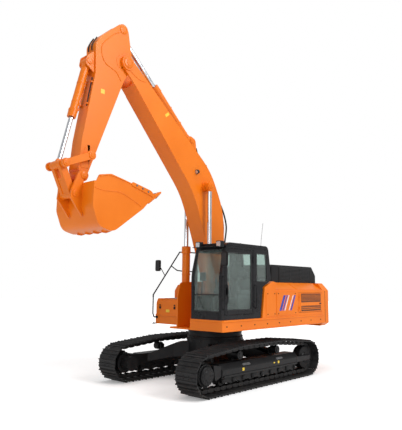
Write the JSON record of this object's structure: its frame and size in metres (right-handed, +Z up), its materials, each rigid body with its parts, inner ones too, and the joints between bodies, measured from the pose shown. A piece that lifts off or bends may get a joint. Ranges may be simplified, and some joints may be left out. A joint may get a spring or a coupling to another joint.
{
  "type": "crawler excavator",
  "caption": "Large crawler excavator with a raised bent boom, arm and bucket on hydraulic cylinders, a swinging cab and engine house, and a tracked undercarriage.",
  "frame": {"origin": "on the ground, at the middle of the machine's bounding box; the swing axis stands 0.66 m behind it", "axes": "+Z up, the front with the boom towards -Y, the operator's left with the cab towards +X"},
  "size_m": [3.295, 8.47, 8.07],
  "materials": {
    "orange_paint": "semi-gloss orange paint",
    "black_paint": "satin black paint",
    "cab_black": "semi-gloss black paint",
    "track_steel": "dark worn steel",
    "glass": "tinted glass",
    "chrome_rod": "hard chrome",
    "grey_metal": "bare metal",
    "seat_fabric": "woven cloth"
  },
  "bodies": {
    "undercarriage": {"track_left": "track_steel", "track_right": "track_steel", "track_frame_left": "black_paint", "track_frame_right": "black_paint", "sprocket_left": "black_paint", "sprocket_right": "black_paint", "travel_motor_left": "black_paint", "travel_motor_right": "black_paint", "idler_left": "black_paint", "idler_right": "black_paint", "lower_rollers_left": "black_paint", "lower_rollers_right": "black_paint", "carrier_roller_left_front": "black_paint", "carrier_roller_left_rear": "black_paint", "carrier_roller_right_front": "black_paint", "carrier_roller_right_rear": "black_paint", "carbody": "black_paint", "slew_ring": "black_paint"},
    "upper": {"upper_frame": "orange_paint", "counterweight": "orange_paint", "engine_house": "orange_paint", "engine_block": "grey_metal", "fuel_tank": "orange_paint", "tool_box": "orange_paint", "left_fender": "orange_paint", "handrail": "black_paint", "mirror_right": "black_paint", "mirror_left": "black_paint", "cab_shell": "cab_black", "windscreen": "glass", "cab_rear_glass": "glass", "cab_right_glass": "glass", "cab_quarter_glass": "glass", "control_console": "black_paint", "operator_seat": "seat_fabric", "cab_lamp_bar": "black_paint"},
    "cab_door": {"cab_door": "cab_black", "cab_door_glass": "glass"},
    "left_rear_door": {"left_rear_door": "orange_paint"},
    "right_rear_door": {"right_rear_door": "orange_paint"},
    "engine_hood": {"engine_hood": "black_paint"},
    "tool_box_lid": {"tool_box_lid": "orange_paint"},
    "boom": {"boom": "orange_paint"},
    "boom_barrels": {"boom_cylinder_left_barrel": "orange_paint", "boom_cylinder_right_barrel": "orange_paint"},
    "boom_rods": {"boom_cylinder_left_rod": "chrome_rod", "boom_cylinder_right_rod": "chrome_rod"},
    "arm_barrel": {"arm_cylinder_barrel": "orange_paint"},
    "arm_rod": {"arm_cylinder_rod": "chrome_rod"},
    "arm": {"arm": "orange_paint"},
    "bucket_barrel": {"bucket_cylinder_barrel": "orange_paint"},
    "bucket_rod": {"bucket_cylinder_rod": "chrome_rod"},
    "rocker": {"rocker_left": "orange_paint", "rocker_right": "orange_paint"},
    "bucket_link": {"bucket_link": "orange_paint"},
    "bucket": {"bucket": "orange_paint"}
  },
  "joints": [
    {"name": "swing", "type": "hinge", "parent": "undercarriage", "child": "upper", "pos_m": [0, 0.66, 1.25], "axis": [0, 0, 1], "continuous": true},
    {"name": "boom", "type": "hinge", "parent": "upper", "child": "boom", "pos_m": [0, 0.66, 2.15], "axis": [-1, 0, 0], "range_deg": [-97, 5]},
    {"name": "boom_cylinders", "type": "hinge", "parent": "upper", "child": "boom_barrels", "pos_m": [0, -0.04, 1.62], "axis": [-1, 0, 0], "range_deg": [-101, 7]},
    {"name": "boom_rods", "type": "slide", "parent": "boom_barrels", "child": "boom_rods", "axis": [0, 0, 1], "range_m": [-1.36, 0.09]},
    {"name": "arm", "type": "hinge", "parent": "boom", "child": "arm", "pos_m": [0, -2.63, 7.18], "axis": [1, 0, 0], "range_deg": [-95, 12]},
    {"name": "arm_cylinder", "type": "hinge", "parent": "boom", "child": "arm_barrel", "pos_m": [0, -0.44, 5.9], "axis": [1, 0, 0], "range_deg": [-8, 8]},
    {"name": "arm_rod", "type": "slide", "parent": "arm_barrel", "child": "arm_rod", "axis": [0, -0.7481, 0.6636], "range_m": [-1.18, 0.16]},
    {"name": "bucket", "type": "hinge", "parent": "arm", "child": "bucket", "pos_m": [0, -3.66, 4.455], "axis": [1, 0, 0], "range_deg": [-125, 22]},
    {"name": "bucket_cylinder", "type": "hinge", "parent": "arm", "child": "bucket_barrel", "pos_m": [0, -3.56, 6.93], "axis": [1, 0, 0], "range_deg": [-4, 4]},
    {"name": "bucket_rod", "type": "slide", "parent": "bucket_barrel", "child": "bucket_rod", "axis": [0, -0.2356, -0.9719], "range_m": [-0.92, 0.18]},
    {"name": "rocker", "type": "hinge", "parent": "arm", "child": "rocker", "pos_m": [0, -3.54, 4.88], "axis": [1, 0, 0], "range_deg": [-90, 17]},
    {"name": "bucket_link", "type": "hinge", "parent": "bucket", "child": "bucket_link", "pos_m": [0, -3.85, 4.06], "axis": [1, 0, 0], "range_deg": [-18, 92]},
    {"name": "cab_door", "type": "hinge", "parent": "upper", "child": "cab_door", "pos_m": [1.4825, 0.31, 1.66], "axis": [0, 0, 1], "range_deg": [0, 150]},
    {"name": "left_rear_door", "type": "hinge", "parent": "upper", "child": "left_rear_door", "pos_m": [1.5025, 2.308, 1.62], "axis": [0, 0, -1], "range_deg": [0, 110]},
    {"name": "right_rear_door", "type": "hinge", "parent": "upper", "child": "right_rear_door", "pos_m": [-1.5025, 2.308, 1.62], "axis": [0, 0, 1], "range_deg": [0, 110]},
    {"name": "engine_hood", "type": "hinge", "parent": "upper", "child": "engine_hood", "pos_m": [0, 1.58, 2.4003], "axis": [1, 0, 0], "range_deg": [0, 60]},
    {"name": "tool_box_lid", "type": "hinge", "parent": "upper", "child": "tool_box_lid", "pos_m": [-1, 0.6318, 1.964], "axis": [-1, 0, 0], "range_deg": [0, 80]}
  ],
  "couplings": [
    {"joint": "boom_cylinders", "follows": "boom", "ratio": 1.019},
    {"joint": "boom_rods", "follows": "boom", "m_per_rad": 0.7921},
    {"joint": "arm_cylinder", "follows": "arm", "ratio": 0.063},
    {"joint": "arm_rod", "follows": "arm", "m_per_rad": 0.6875},
    {"joint": "bucket_cylinder", "follows": "bucket", "ratio": 0.01},
    {"joint": "bucket_rod", "follows": "bucket", "m_per_rad": 0.4011},
    {"joint": "rocker", "follows": "bucket", "ratio": 0.68},
    {"joint": "bucket_link", "follows": "bucket", "ratio": -0.709}
  ]
}
